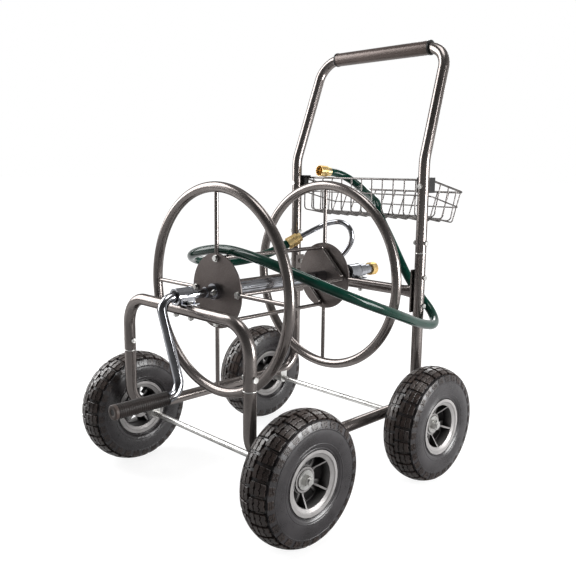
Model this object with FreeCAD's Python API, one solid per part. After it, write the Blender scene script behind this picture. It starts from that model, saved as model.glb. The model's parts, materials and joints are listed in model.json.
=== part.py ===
import FreeCAD, Part
import math
import os
from FreeCAD import Vector

# Garden hose reel cart. Millimetres, +Z up. The push handle is at the +Y end,
# the winding crank at the -Y end, and the reel turns about an axis along Y.
# Everything is drawn from the middle of the wheelbase at ground level, and is
# moved at the end so that the origin is the middle of the cart's footprint.

# wheels, axles and track
tyre_radius = 130.0
tyre_half_width = 41.5
shoulder_drop = 11.0
shoulder_half_width = 36.0
bead_radius = 54.0
tyre_wall = 8.0
bulge_wall = 6.4
tread_depth = 4.5
tread_pitches = 28
tread_block_length = 23.0
tread_inner_column = (1.5, 11.0)
tread_outer_column = (13.0, 33.5)
tread_sink = 0.5
wheelbase = 414.4
wheel_track = 560.4
rim_flange_radius = 63.0
rim_outer_face = 36.0
rim_inner_face = 32.0
flange_thickness = 3.0
rim_wall = 5.5
lip_width = 6.0
lip_step = 2.0
rim_rib_count = 5
rib_thickness = 3.6
rib_reach_in = 18.0
web_face = 9.0
web_thickness = 4.0
window_inset = 3.0
window_half_angle = 20.0
hub_radius = 24.5
hub_outer_face = 12.0
hub_inner_face = 28.0
hub_core_radius = 12.0
bearing_radius = 17.5
bearing_width = 11.0
shield_depth = 0.8
race_width = 3.0
valve_radius = 4.2
valve_hole_clearance = 0.3
valve_length = 24.0
inner_tube_wall = 1.6
inner_tube_gap = 0.7
inner_tube_side_gap = 3.4
axle_radius = 6.35
axle_overhang = 3.0
washer_radius = 19.0
washer_thickness = 2.2
disc_washer_radius = 7.7
disc_bolt_grip = 15.0
axle_nut_size = 19.0
axle_nut_height = 10.0
wheel_play = 0.3
spacer_radius = 9.5

# frame tubes
frame_tube_radius = 12.7
frame_wall = 1.6
leg_x = 202.0
leg_y = 263.0
rail_bend = 58.0
bridge_bend = 62.0
front_joint_z = 291.0
rear_joint_z = 505.5
spigot_length = 50.0
spigot_weld = 6.0
spigot_gap = 0.1
joint_bolt_rise = 23.0
saddle_half_width = 14.0
saddle_half_length = 11.0
saddle_drop = 11.0
rail_gap = 0.3

# push handle
handle_bend_z = 718.0
handle_top_y = 353.0
handle_top_z = 978.0
handle_lower_bend = 90.0
handle_corner_bend = 56.0
handle_grip_radius = 16.5
handle_grip_half_length = 142.0
handle_corner_reach = 49.0
grip_ring_length = 4.0
grip_ring_step = 0.8

# reel
reel_z = 440.8
ring_radius = 216.0
ring_tube_radius = 11.0
ring_wall = 1.4
front_ring_y = -176.0
rear_ring_y = 155.5
spoke_radius = 4.5
disc_radius = 79.3
disc_thickness = 3.0
drum_rod_radius = 4.5
drum_rod_circle = 69.0
drum_rod_bend = 11.0
axle_pipe_radius = 12.0
axle_pipe_wall = 2.4
axle_pipe_front = -208.0
axle_pipe_end = 300.0
collar_radius = 17.0
collar_length = 11.0
weld_gap = 0.02

# crank
crank_radius = 9.5
crank_wall = 1.8
crank_arm_y = -320.0
crank_grip_x = 70.0
crank_grip_z = 265.0
crank_bend = 32.0
crank_shaft_start = -150.0
crank_pin_y = -196.0
crank_end_y = -465.0
crank_plug_length = 24.0
grip_start_y = -357.0
grip_end_y = -471.0
grip_radius = 14.0
grip_washer_thickness = 2.0
grip_rib_count = 13
grip_rib_depth = 0.9
grip_groove_share = 0.35
grip_screw_head = 2.0
grip_screw_depth = 14.4
grip_screw_room = 0.4
running_gap = 0.08

# bearings and their straps
bush_half_length = 20.0
bush_flange = 4.0
bush_flange_rise = 2.5
front_bush_wall = 5.0
rear_bush_wall = 3.4
strap_thickness = 2.2
strap_ear_length = 16.0

# rear crossbar
end_plate_thickness = 4.0
end_plate_half_width = 13.0
end_plate_low = 365.0
end_plate_high = 466.0
end_plate_bolt_inset = 17.0
squash_length = 26.0
squash_half_height = 16.0
squash_half_width = 8.0

# fasteners
bolt_radius = 3.0
bolt_clearance = 0.2
bolt_head_size = 11.0
bolt_head_height = 4.0
nut_size = 10.0
nut_height = 5.0
bolt_tail = 2.0

# water inlet and couplings
swivel_radius = 15.0
swivel_length = 45.0
swivel_waist_radius = 12.4
swivel_shoulder_length = 22.0
swivel_taper_length = 4.0
swivel_bore_length = 19.0
neck_radius = 10.5
neck_length = 5.4
neck_flange_radius = 12.2
neck_flange_length = 2.7
waterway_radius = 7.5
seal_height = 1.9
seal_width = 3.0
inlet_nut_radius = 16.4
coupling_radius = 14.0
coupling_lip = 4.8
coupling_length = 24.0
inlet_nut_length = 20.0
thread_radius = 13.2
thread_wall_step = 1.1
ferrule_length = 12.0
ferrule_wall = 1.0
hose_neck_radius = 9.5
nut_flats_share = 0.6
outlet_collar_step = 3.5
outlet_collar_length = 9.25
outlet_ring_length = 12.95

# hose and outlet pipe
hose_radius = 10.5
outlet_pipe_radius = 6.0
outlet_pipe_wall = 1.2
outlet_pipe_y = 200.0
outlet_socket_depth = 9.0
outlet_coupling_length = 37.0
hose_gap = 0.3
bend_share = 0.45
hose_straight_run = 45.0

# basket
rim_wire_radius = 2.5
mesh_wire_radius = 1.75
basket_half_width = 205.0
basket_front_y = 288.0
basket_rear_y = 430.0
basket_front_z = 672.0
basket_rear_z = 641.0
basket_mid_drop = 36.0
basket_mid_rear_inset = 15.0
floor_front_z = 588.0
floor_rear_z = 569.0
floor_rear_y = 398.0
floor_half_width = 198.0
basket_wire_pitch = 32.7
basket_wire_pairs = 6
basket_corner = 14.0
long_wire_count = 3
first_long_wire_inset = 29.0
long_wire_pitch = 35.0
long_wire_lean = 11.0
wire_cross_lift = 3.15
mesh_wire_bend = 11.0
mid_wire_inset = 1.0
clip_half_width = 16.5
clip_low = 643.0
clip_high = 678.0
clip_front_y = 268.0
clip_rear_y = 293.0
clip_bolt_z = 658.0
clip_shift = 5.5
clip_wire_slot = 3.2

# worked out from the sizes above
axle_y = wheelbase / 2
wheel_x = wheel_track / 2
axle_z = tyre_radius
shoulder_radius = tyre_radius - shoulder_drop
handle_top_x = handle_grip_half_length + handle_corner_reach
rail_z = axle_z + axle_radius + frame_tube_radius + rail_gap
frame_bore = frame_tube_radius - frame_wall
front_bush_radius = crank_radius + running_gap + front_bush_wall
rear_bush_radius = axle_pipe_radius + running_gap + rear_bush_wall
bridge_z = reel_z - front_bush_radius - frame_tube_radius
crossbar_z = reel_z - rear_bush_radius - frame_tube_radius
bolt_hole = bolt_radius + bolt_clearance
front_disc_inner = front_ring_y + disc_thickness / 2
rear_disc_inner = rear_ring_y - disc_thickness / 2
swivel_start = leg_y + bush_half_length
origin_y = (grip_end_y + basket_rear_y + rim_wire_radius) / 2

# directions
along_x = Vector(1, 0, 0)
along_y = Vector(0, 1, 0)
along_z = Vector(0, 0, 1)

os.makedirs("parts", exist_ok=True)


def save(name, shape):
    moved = shape.copy()
    moved.translate(Vector(0, -origin_y, 0))
    moved.exportStep("parts/" + name + ".step")
    solids = len(moved.Solids)
    print(f"{name:24s} solids {solids:3d} volume {moved.Volume / 1000:9.2f} cm3 valid {moved.isValid()}")


def group(shapes):
    solids = []
    for shape in shapes:
        solids.extend(shape.Solids)
    return Part.makeCompound(solids)


def rod(start, direction, length, radius):
    return Part.makeCylinder(radius, length, start, direction)


def sleeve(start, direction, length, outer, inner):
    return rod(start, direction, length, outer).cut(rod(start, direction, length, inner))


def block(low, high):
    size = Vector(*high) - Vector(*low)
    return Part.makeBox(size.x, size.y, size.z, Vector(*low))


def turned(profile, origin, direction):
    """Turn a closed outline of (distance along, radius) points about an axis."""
    points = [Vector(radius, 0, along) for along, radius in profile]
    face = Part.Face(Part.makePolygon(points + points[:1]))
    solid = face.revolve(Vector(0, 0, 0), along_z, 360)
    return placed(solid, origin, direction)


def placed(solid, origin, direction):
    """Move a shape drawn along +Z so that +Z points along direction from origin."""
    turn = FreeCAD.Rotation(along_z, direction)
    return solid.transformed(FreeCAD.Placement(origin, turn).toMatrix())


def hexagon(start, direction, length, across_flats):
    corner = across_flats / math.sqrt(3)
    points = []
    for step in range(6):
        angle = math.radians(60 * step)
        points.append(Vector(corner * math.cos(angle), corner * math.sin(angle), 0))
    prism = Part.Face(Part.makePolygon(points + points[:1])).extrude(Vector(0, 0, length))
    return placed(prism, start, direction)


def rounded_route(points, radii):
    """Straight runs joined by tangent arcs: one radius for each inner point."""
    edges = []
    last = points[0]
    for before, corner, after, radius in zip(points, points[1:], points[2:], radii):
        back = (before - corner).normalize()
        ahead = (after - corner).normalize()
        half_inside = back.getAngle(ahead) / 2
        setback = radius / math.tan(half_inside)
        arc_start = corner + back * setback
        arc_end = corner + ahead * setback
        middle = (back + ahead).normalize()
        arc_middle = corner + middle * (radius / math.sin(half_inside) - radius)
        edges.append(Part.LineSegment(last, arc_start).toShape())
        edges.append(Part.Arc(arc_start, arc_middle, arc_end).toShape())
        last = arc_end
    edges.append(Part.LineSegment(last, points[-1]).toShape())
    return Part.Wire(edges)


def pipe(path, radius):
    start = path.Edges[0]
    heading = start.tangentAt(start.FirstParameter)
    circle = Part.Wire(Part.Circle(start.Vertexes[0].Point, heading, radius).toShape())
    return path.makePipe(Part.Face(circle))


def bent_rod(points, radii, radius):
    return pipe(rounded_route(points, radii), radius)


def bent_tube(points, radii, outer, inner):
    path = rounded_route(points, radii)
    return pipe(path, outer).cut(pipe(path, inner))


def hoop(corners, bend, radius):
    """A closed wire loop through four corners with rounded bends."""
    first, second, third, fourth = corners
    middle = (first + second) * 0.5
    route = [middle, second, third, fourth, first, middle]
    path = rounded_route(route, [bend] * 4)
    return pipe(path, radius)


def bolt(start, direction, grip):
    """Bolt from the face under its head, through grip, with a nut on its far side."""
    unit = Vector(direction)
    head = hexagon(start - unit * bolt_head_height, unit, bolt_head_height, bolt_head_size)
    shank = rod(start - unit, unit, grip + nut_height + bolt_tail + 1.0, bolt_radius)
    far = start + unit * grip
    nut = hexagon(far, unit, nut_height, nut_size).cut(rod(far - unit, unit, nut_height + 2, bolt_radius))
    return [head.fuse(shank).removeSplitter(), nut]


def drill(shape, start, direction, length, radius=bolt_hole):
    return shape.cut(rod(start, direction, length, radius))


# ---------------------------------------------------------------- frame tubes

def leg_spigot(x, y, joint_z):
    inside = frame_bore - frame_wall
    weld = sleeve(Vector(x, y, joint_z - spigot_weld), along_z, spigot_weld, frame_bore, inside)
    neck = sleeve(Vector(x, y, joint_z), along_z, spigot_length, frame_bore - spigot_gap, inside)
    return weld.fuse(neck)


def leg_bolt_heights():
    return [end_plate_low + end_plate_bolt_inset, end_plate_high - end_plate_bolt_inset]


def side_rail(side):
    x = side * leg_x
    points = [Vector(x, -leg_y, front_joint_z), Vector(x, -leg_y, rail_z),
              Vector(x, leg_y, rail_z), Vector(x, leg_y, rear_joint_z)]
    rail = bent_tube(points, [rail_bend, rail_bend], frame_tube_radius, frame_bore)
    rail = rail.fuse([leg_spigot(x, -leg_y, front_joint_z), leg_spigot(x, leg_y, rear_joint_z)])
    holes = [(-leg_y, front_joint_z + joint_bolt_rise), (leg_y, rear_joint_z + joint_bolt_rise)]
    holes += [(leg_y, height) for height in leg_bolt_heights()]
    for y, height in holes:
        rail = drill(rail, Vector(x - 2 * frame_tube_radius, y, height), along_x, 4 * frame_tube_radius)
    return rail


def front_bridge():
    points = [Vector(-leg_x, -leg_y, front_joint_z), Vector(-leg_x, -leg_y, bridge_z),
              Vector(leg_x, -leg_y, bridge_z), Vector(leg_x, -leg_y, front_joint_z)]
    bridge = bent_tube(points, [bridge_bend, bridge_bend], frame_tube_radius, frame_bore)
    bridge = drill(bridge, Vector(-leg_x - 2 * frame_tube_radius, -leg_y, front_joint_z + joint_bolt_rise),
                   along_x, 2 * leg_x + 4 * frame_tube_radius)
    for x in strap_bolt_places(front_bush_radius):
        under = Vector(x, -leg_y, bridge_z - 2 * frame_tube_radius)
        bridge = drill(bridge, under, along_z, 4 * frame_tube_radius)
    return bridge


def handle_path():
    points = [Vector(-leg_x, leg_y, rear_joint_z), Vector(-leg_x, leg_y, handle_bend_z),
              Vector(-handle_top_x, handle_top_y, handle_top_z),
              Vector(handle_top_x, handle_top_y, handle_top_z),
              Vector(leg_x, leg_y, handle_bend_z), Vector(leg_x, leg_y, rear_joint_z)]
    bends = [handle_lower_bend, handle_corner_bend, handle_corner_bend, handle_lower_bend]
    return rounded_route(points, bends)


def push_handle():
    path = handle_path()
    handle = pipe(path, frame_tube_radius).cut(pipe(path, frame_bore))
    handle = drill(handle, Vector(-leg_x - 2 * frame_tube_radius, leg_y, rear_joint_z + joint_bolt_rise),
                   along_x, 2 * leg_x + 4 * frame_tube_radius)
    for side in (-1, 1):
        start = Vector(side * leg_x, leg_y - 2 * frame_tube_radius, clip_bolt_z)
        handle = drill(handle, start, along_y, 4 * frame_tube_radius)
    return handle


def rear_crossbar():
    plate_face = leg_x - frame_tube_radius
    inner = plate_face - end_plate_thickness
    straight = inner - squash_length
    bar = rod(Vector(-straight, leg_y, crossbar_z), along_x, 2 * straight, frame_tube_radius)
    bore = rod(Vector(-straight, leg_y, crossbar_z), along_x, 2 * straight, frame_bore)
    ends = []
    end_bores = []
    plates = []
    for side in (-1, 1):
        direction = Vector(side, 0, 0)
        start = Vector(side * straight, leg_y, crossbar_z)
        finish = Vector(side * inner, leg_y, crossbar_z)
        for wall, kept in ((0, ends), (frame_wall, end_bores)):
            round_end = Part.Circle(start, direction, frame_tube_radius - wall).toShape()
            tall = squash_half_height - wall
            narrow = squash_half_width - wall
            flat_end = Part.Ellipse(Vector(0, 0, 0), tall, narrow).toShape()
            flat_end.rotate(Vector(0, 0, 0), along_y, 90)
            flat_end.translate(finish)
            kept.append(Part.makeLoft([Part.Wire(round_end), Part.Wire(flat_end)], True, True))
        low_x = min(side * inner, side * plate_face)
        plate = block((low_x, leg_y - end_plate_half_width, end_plate_low),
                      (low_x + end_plate_thickness, leg_y + end_plate_half_width, end_plate_high))
        for height in leg_bolt_heights():
            plate = drill(plate, Vector(low_x - 1, leg_y, height), along_x, end_plate_thickness + 2)
        plates.append(plate)
    bar = bar.fuse(ends).cut(bore.fuse(end_bores)).fuse(plates)
    for x in strap_bolt_places(rear_bush_radius):
        bar = drill(bar, Vector(x, leg_y, crossbar_z - 2 * frame_tube_radius), along_z, 4 * frame_tube_radius)
    return bar


def frame_fasteners():
    outside = leg_x + frame_tube_radius
    solids = []
    for side in (-1, 1):
        inward = Vector(-side, 0, 0)
        across = 2 * frame_tube_radius
        places = [(-leg_y, front_joint_z + joint_bolt_rise, across),
                  (leg_y, rear_joint_z + joint_bolt_rise, across)]
        places += [(leg_y, height, across + end_plate_thickness) for height in leg_bolt_heights()]
        for y, height, grip in places:
            solids += bolt(Vector(side * outside, y, height), inward, grip)
    return group(solids)


def around_handle(start_x, length, radius):
    """A round sleeve along X whose bore follows the handle tube, into its bends."""
    sleeve_body = rod(Vector(start_x, handle_top_y, handle_top_z), along_x, length, radius)
    return sleeve_body.cut(pipe(handle_path(), frame_tube_radius))


def handle_grip():
    return around_handle(-handle_grip_half_length, 2 * handle_grip_half_length, handle_grip_radius)


def grip_end_rings():
    radius = handle_grip_radius + grip_ring_step
    return group([around_handle(start_x, grip_ring_length, radius)
                  for start_x in (-handle_grip_half_length - grip_ring_length, handle_grip_half_length)])


# ------------------------------------------------------------ axles and wheels

def axle(y):
    half = wheel_x + hub_outer_face + wheel_play + washer_thickness + axle_nut_height + axle_overhang
    return rod(Vector(-half, y, axle_z), along_x, 2 * half, axle_radius)


def axle_saddle(side, y):
    x = side * leg_x
    low = (x - saddle_half_width, y - saddle_half_length, axle_z)
    high = (x + saddle_half_width, y + saddle_half_length, rail_z)
    saddle = block(low, high)
    round_foot = rod(Vector(low[0], y, axle_z), along_x, 2 * saddle_half_width, saddle_drop)
    saddle = saddle.fuse(round_foot)
    rail_start = Vector(x, y - 2 * saddle_half_length, rail_z)
    saddle = saddle.cut(rod(rail_start, along_y, 4 * saddle_half_length, frame_tube_radius))
    axle_start = Vector(x - 2 * saddle_half_width, y, axle_z)
    return saddle.cut(rod(axle_start, along_x, 4 * saddle_half_width, axle_radius))


def axle_spacer(side, y):
    inner = leg_x + saddle_half_width
    outer = wheel_x - hub_inner_face - wheel_play
    start = Vector(side * inner, y, axle_z)
    return sleeve(start, Vector(side, 0, 0), outer - inner, spacer_radius, axle_radius)


def axle_fasteners():
    solids = []
    for side in (-1, 1):
        outward = Vector(side, 0, 0)
        for y in (-axle_y, axle_y):
            washer_x = wheel_x + hub_outer_face + wheel_play
            solids.append(sleeve(Vector(side * washer_x, y, axle_z), outward, washer_thickness,
                                 washer_radius, axle_radius))
            nut_start = Vector(side * (washer_x + washer_thickness), y, axle_z)
            nut = hexagon(nut_start, outward, axle_nut_height, axle_nut_size)
            solids.append(nut.cut(rod(nut_start, outward, axle_nut_height, axle_radius)))
    return group(solids)


def wheel_centre(side, y):
    return Vector(side * wheel_x, y, axle_z)


def crown_radius():
    return (shoulder_half_width ** 2 + shoulder_drop ** 2) / (2 * shoulder_drop)


def crown_point(across, depth):
    """Point across the tread from its middle, and below its outer face."""
    reach = crown_radius() - depth
    angle = across / crown_radius()
    return Vector(tyre_radius - crown_radius() + reach * math.cos(angle), 0, reach * math.sin(angle))


def tread_block(first, last):
    """One block of the tread, sunk a little into the tyre that carries it."""
    middle = (first + last) / 2
    foot = tread_depth + tread_sink
    edges = [Part.Arc(crown_point(first, 0), crown_point(middle, 0), crown_point(last, 0)).toShape(),
             Part.LineSegment(crown_point(last, 0), crown_point(last, foot)).toShape(),
             Part.Arc(crown_point(last, foot), crown_point(middle, foot), crown_point(first, foot)).toShape(),
             Part.LineSegment(crown_point(first, foot), crown_point(first, 0)).toShape()]
    sweep = math.degrees(tread_block_length / tyre_radius)
    section = Part.Face(Part.Wire(edges))
    section.rotate(Vector(0, 0, 0), along_z, -sweep / 2)
    return section.revolve(Vector(0, 0, 0), along_z, sweep)


def tread_blocks():
    """Two columns on each half of the tyre, with the halves half a pitch apart."""
    pitch = 360.0 / tread_pitches
    blocks = []
    for half in (-1, 1):
        start = pitch / 2 if half < 0 else 0
        for near, far in (tread_inner_column, tread_outer_column):
            first = tread_block(half * near, half * far)
            for index in range(tread_pitches):
                turned_block = first.copy()
                turned_block.rotate(Vector(0, 0, 0), along_z, start + index * pitch)
                blocks.append(turned_block)
    return blocks


def tyre_form():
    """The tyre about +Z, with its outboard side up."""
    seat_out = rim_outer_face - flange_thickness
    seat_in = rim_inner_face - flange_thickness
    bulge_radius = (rim_flange_radius + shoulder_radius) / 2
    hollow_crown = tyre_radius - tyre_wall
    hollow_shoulder = shoulder_radius - tyre_wall
    hollow_half = shoulder_half_width - tyre_wall / 2
    hollow_bulge = tyre_half_width - bulge_wall

    def point(along, radius):
        return Vector(radius, 0, along)

    def line(a, b):
        return Part.LineSegment(point(*a), point(*b)).toShape()

    def arc(a, b, c):
        return Part.Arc(point(*a), point(*b), point(*c)).toShape()

    foot_out = (seat_out, bead_radius)
    heel_out = (seat_out, rim_flange_radius)
    shoulder_out = (shoulder_half_width, shoulder_radius)
    shoulder_in = (-shoulder_half_width, shoulder_radius)
    heel_in = (-seat_in, rim_flange_radius)
    foot_in = (-seat_in, bead_radius)
    toe_in = (tyre_wall - seat_in, bead_radius)
    top_in = (tyre_wall - seat_in, rim_flange_radius)
    top_out = (seat_out - tyre_wall, rim_flange_radius)
    toe_out = (seat_out - tyre_wall, bead_radius)
    edges = [line(foot_out, heel_out),
             arc(heel_out, (tyre_half_width, bulge_radius), shoulder_out),
             arc(shoulder_out, (0, tyre_radius), shoulder_in),
             arc(shoulder_in, (-tyre_half_width, bulge_radius), heel_in),
             line(heel_in, foot_in),
             line(foot_in, toe_in),
             line(toe_in, top_in),
             arc(top_in, (-hollow_bulge, bulge_radius), (-hollow_half, hollow_shoulder)),
             arc((-hollow_half, hollow_shoulder), (0, hollow_crown), (hollow_half, hollow_shoulder)),
             arc((hollow_half, hollow_shoulder), (hollow_bulge, bulge_radius), top_out),
             line(top_out, toe_out),
             line(toe_out, foot_out)]
    base_circle = Part.Circle(point(0, tyre_radius - crown_radius()), along_y, crown_radius() - tread_depth)
    base_disc = Part.Face(Part.Wire(base_circle.toShape()))
    section = Part.Face(Part.Wire(edges)).common(base_disc).Faces[0]
    carcass = section.revolve(Vector(0, 0, 0), along_z, 360)
    return carcass.fuse(tread_blocks())


def tyre(form, side, y, tread_turn):
    turned_form = form.copy()
    turned_form.rotate(Vector(0, 0, 0), along_z, tread_turn * 360.0 / tread_pitches)
    return placed(turned_form, wheel_centre(side, y), Vector(side, 0, 0))


def radial_place(side, y, angle):
    """Placement whose +X points out from the axle at an angle and +Z points outboard."""
    radians = math.radians(angle)
    outward = Vector(0, math.cos(radians), math.sin(radians))
    axial = Vector(side, 0, 0)
    across = axial.cross(outward)
    matrix = FreeCAD.Matrix(outward.x, across.x, axial.x, 0, outward.y, across.y, axial.y, 0,
                            outward.z, across.z, axial.z, 0, 0, 0, 0, 1)
    base = wheel_centre(side, y)
    matrix.move(base)
    return matrix


def rim(side, y, phase):
    barrel_inner = bead_radius - rim_wall
    lip_radius = rim_flange_radius - lip_width
    cone_out = rim_outer_face - rim_wall
    cone_in = rim_inner_face - rim_wall
    barrel = [(rim_outer_face, rim_flange_radius), (rim_outer_face, lip_radius),
              (rim_outer_face - lip_step, lip_radius - lip_step), (cone_out, barrel_inner),
              (-cone_in, barrel_inner), (lip_step - rim_inner_face, lip_radius - lip_step),
              (-rim_inner_face, lip_radius), (-rim_inner_face, rim_flange_radius),
              (flange_thickness - rim_inner_face, rim_flange_radius),
              (flange_thickness - rim_inner_face, bead_radius),
              (rim_outer_face - flange_thickness, bead_radius),
              (rim_outer_face - flange_thickness, rim_flange_radius)]
    seat_out = hub_outer_face - bearing_width
    seat_in = bearing_width - hub_inner_face
    hub = [(hub_outer_face, bearing_radius), (hub_outer_face, hub_radius), (-hub_inner_face, hub_radius),
           (-hub_inner_face, bearing_radius), (seat_in, bearing_radius), (seat_in, hub_core_radius),
           (seat_out, hub_core_radius), (seat_out, bearing_radius)]
    centre = wheel_centre(side, y)
    axial = Vector(side, 0, 0)
    pieces = [turned(hub, centre, axial)]
    web_start = centre + axial * (web_face - web_thickness)
    web = sleeve(web_start, axial, web_thickness, barrel_inner + 1, hub_radius - 1)
    spacing = 360.0 / rim_rib_count
    for index in range(rim_rib_count):
        angle = phase + index * spacing
        outline = [Vector(hub_radius - 1, 0, hub_outer_face - 2), Vector(barrel_inner + 1, 0, cone_out),
                   Vector(barrel_inner + 1, 0, -rib_reach_in), Vector(hub_radius - 1, 0, -rib_reach_in)]
        plate = Part.Face(Part.makePolygon(outline + outline[:1]))
        plate.translate(Vector(0, -rib_thickness / 2, 0))
        rib = plate.extrude(Vector(0, rib_thickness, 0))
        pieces.append(rib.transformed(radial_place(side, y, angle)))
        middle = radial_place(side, y, angle + spacing / 2)
        web = web.cut(web_window(barrel_inner).transformed(middle))
    solid = turned(barrel, centre, axial).fuse([web] + pieces)
    hole_radius = valve_radius + valve_hole_clearance
    hole = rod(Vector(bead_radius - 2 * rim_wall, 0, 0), along_x, 4 * rim_wall, hole_radius)
    return solid.cut(hole.transformed(radial_place(side, y, phase + spacing / 2)))


def web_window(barrel_inner):
    """Ring sector cut through the web between two ribs, drawn about +X."""
    low = hub_radius + window_inset
    high = barrel_inner - window_inset
    half = math.radians(window_half_angle)
    start = web_face - 2 * web_thickness

    def point(radius, angle):
        return Vector(radius * math.cos(angle), radius * math.sin(angle), start)

    edges = [Part.Arc(point(low, -half), point(low, 0), point(low, half)).toShape(),
             Part.LineSegment(point(low, half), point(high, half)).toShape(),
             Part.Arc(point(high, half), point(high, 0), point(high, -half)).toShape(),
             Part.LineSegment(point(high, -half), point(low, -half)).toShape()]
    return Part.Face(Part.Wire(edges)).extrude(Vector(0, 0, 3 * web_thickness))


def inner_tube(side, y, phase):
    hollow_crown = tyre_radius - tyre_wall
    semi_radial = (hollow_crown - bead_radius) / 2 - inner_tube_gap
    semi_axial = tyre_half_width - bulge_wall - inner_tube_side_gap
    middle = (hollow_crown + bead_radius) / 2

    def ring(shrink):
        section = Part.Ellipse(Vector(0, 0, 0), semi_radial - shrink, semi_axial - shrink).toShape()
        section.rotate(Vector(0, 0, 0), along_x, 90)
        section.translate(Vector(middle, 0, 0))
        return Part.Face(Part.Wire(section)).revolve(Vector(0, 0, 0), along_z, 360)

    tube = placed(ring(0).cut(ring(inner_tube_wall)), wheel_centre(side, y), Vector(side, 0, 0))
    stem_top = middle - semi_radial + inner_tube_wall / 2
    stem = rod(Vector(stem_top - valve_length, 0, 0), along_x, valve_length, valve_radius)
    spacing = 360.0 / rim_rib_count
    return tube.fuse(stem.transformed(radial_place(side, y, phase + spacing / 2)))


def wheel_bearings(side, y):
    centre = wheel_centre(side, y)
    bore = axle_radius + running_gap
    inner_race = bore + race_width
    outer_race = bearing_radius - race_width
    low = shield_depth
    high = bearing_width - shield_depth
    outline = [(0, bore), (0, inner_race), (low, inner_race), (low, outer_race), (0, outer_race),
               (0, bearing_radius), (bearing_width, bearing_radius), (bearing_width, outer_race),
               (high, outer_race), (high, inner_race), (bearing_width, inner_race), (bearing_width, bore)]
    outboard = centre + Vector(side * (hub_outer_face - bearing_width), 0, 0)
    inboard = centre - Vector(side * hub_inner_face, 0, 0)
    outward = Vector(side, 0, 0)
    return group([turned(outline, outboard, outward), turned(outline, inboard, outward)])


# -------------------------------------------------------------- shaft bearings

def strap_bolt_places(bush_radius):
    place = bush_radius + strap_thickness + strap_ear_length / 2
    return (-place, place)


def bearing_bush(y, shaft_radius, wall):
    bore = shaft_radius + running_gap
    outer = bore + wall
    half = bush_half_length
    inner = half - bush_flange
    outline = [(-half, bore), (-half, outer + bush_flange_rise), (-inner, outer + bush_flange_rise),
               (-inner, outer), (inner, outer), (inner, outer + bush_flange_rise),
               (half, outer + bush_flange_rise), (half, bore)]
    return turned(outline, Vector(0, y, reel_z), along_y)


def bearing_strap(y, bush_radius):
    half = bush_half_length - bush_flange
    outer = bush_radius + strap_thickness
    seat = reel_z - bush_radius
    start = Vector(0, y - half, reel_z)
    arch = sleeve(start, along_y, 2 * half, outer, bush_radius)
    arch = arch.common(block((-outer, y - half, reel_z), (outer, y + half, reel_z + outer)))
    pieces = []
    for side in (-1, 1):
        near = side * bush_radius
        far = side * outer
        wall = block((min(near, far), y - half, seat), (max(near, far), y + half, reel_z))
        tip = side * (outer + strap_ear_length)
        ear = block((min(near, tip), y - half, seat), (max(near, tip), y + half, seat + strap_thickness))
        pieces += [wall, ear]
    strap = arch.fuse(pieces).removeSplitter()
    for x in strap_bolt_places(bush_radius):
        strap = drill(strap, Vector(x, y, seat - 1), along_z, strap_thickness + 2)
    return strap


def strap_fasteners():
    solids = []
    grip = strap_thickness + 2 * frame_tube_radius
    for y, bush_radius in ((-leg_y, front_bush_radius), (leg_y, rear_bush_radius)):
        for x in strap_bolt_places(bush_radius):
            top = Vector(x, y, reel_z - bush_radius + strap_thickness)
            solids += bolt(top, Vector(0, 0, -1), grip)
    return group(solids)


# ------------------------------------------------------------------------ reel

def reel_point(y, radius, angle):
    radians = math.radians(angle)
    return Vector(radius * math.cos(radians), y, reel_z + radius * math.sin(radians))


def ring(y):
    centre = Vector(0, y, reel_z)
    outside = Part.makeTorus(ring_radius, ring_tube_radius, centre, along_y)
    return outside.cut(Part.makeTorus(ring_radius, ring_tube_radius - ring_wall, centre, along_y))


def spokes(y):
    centre = Vector(0, y, reel_z)
    rim_space = Part.makeTorus(ring_radius, ring_tube_radius, centre, along_y)
    solids = []
    for index in range(4):
        angle = 90.0 * index
        start = reel_point(y, disc_radius + weld_gap, angle)
        direction = (reel_point(y, ring_radius, angle) - centre).normalize()
        solids.append(rod(start, direction, ring_radius - disc_radius, spoke_radius).cut(rim_space))
    return group(solids)


def hub_disc(y, drilled):
    disc = rod(Vector(0, y - disc_thickness / 2, reel_z), along_y, disc_thickness, disc_radius)
    disc = disc.cut(rod(Vector(0, y - disc_thickness, reel_z), along_y, 2 * disc_thickness, axle_pipe_radius))
    if drilled:
        for index in range(4):
            hole = reel_point(y - disc_thickness, drum_rod_circle, 90.0 * index)
            disc = drill(disc, hole, along_y, 2 * disc_thickness)
    return disc


def hub_collars():
    front = Vector(0, front_ring_y - disc_thickness / 2, reel_z)
    rear = Vector(0, rear_ring_y + disc_thickness / 2, reel_z)
    return group([sleeve(front, Vector(0, -1, 0), collar_length, collar_radius, axle_pipe_radius),
                  sleeve(rear, along_y, collar_length, collar_radius, axle_pipe_radius)])


def drum_rod_pair(first_angle, second_angle):
    """One bent rod: out along the drum, across the rear disc and back."""
    far = rear_disc_inner - drum_rod_radius
    points = [reel_point(front_disc_inner, drum_rod_circle, first_angle),
              reel_point(far, drum_rod_circle, first_angle),
              reel_point(far, drum_rod_circle, second_angle),
              reel_point(front_disc_inner, drum_rod_circle, second_angle)]
    pair = bent_rod(points, [drum_rod_bend, drum_rod_bend], drum_rod_radius)
    for end in (points[0], points[-1]):
        pair = pair.cut(rod(end, along_y, disc_bolt_reach(), bolt_radius))
    return pair


def disc_bolt_reach():
    return disc_bolt_grip


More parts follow.
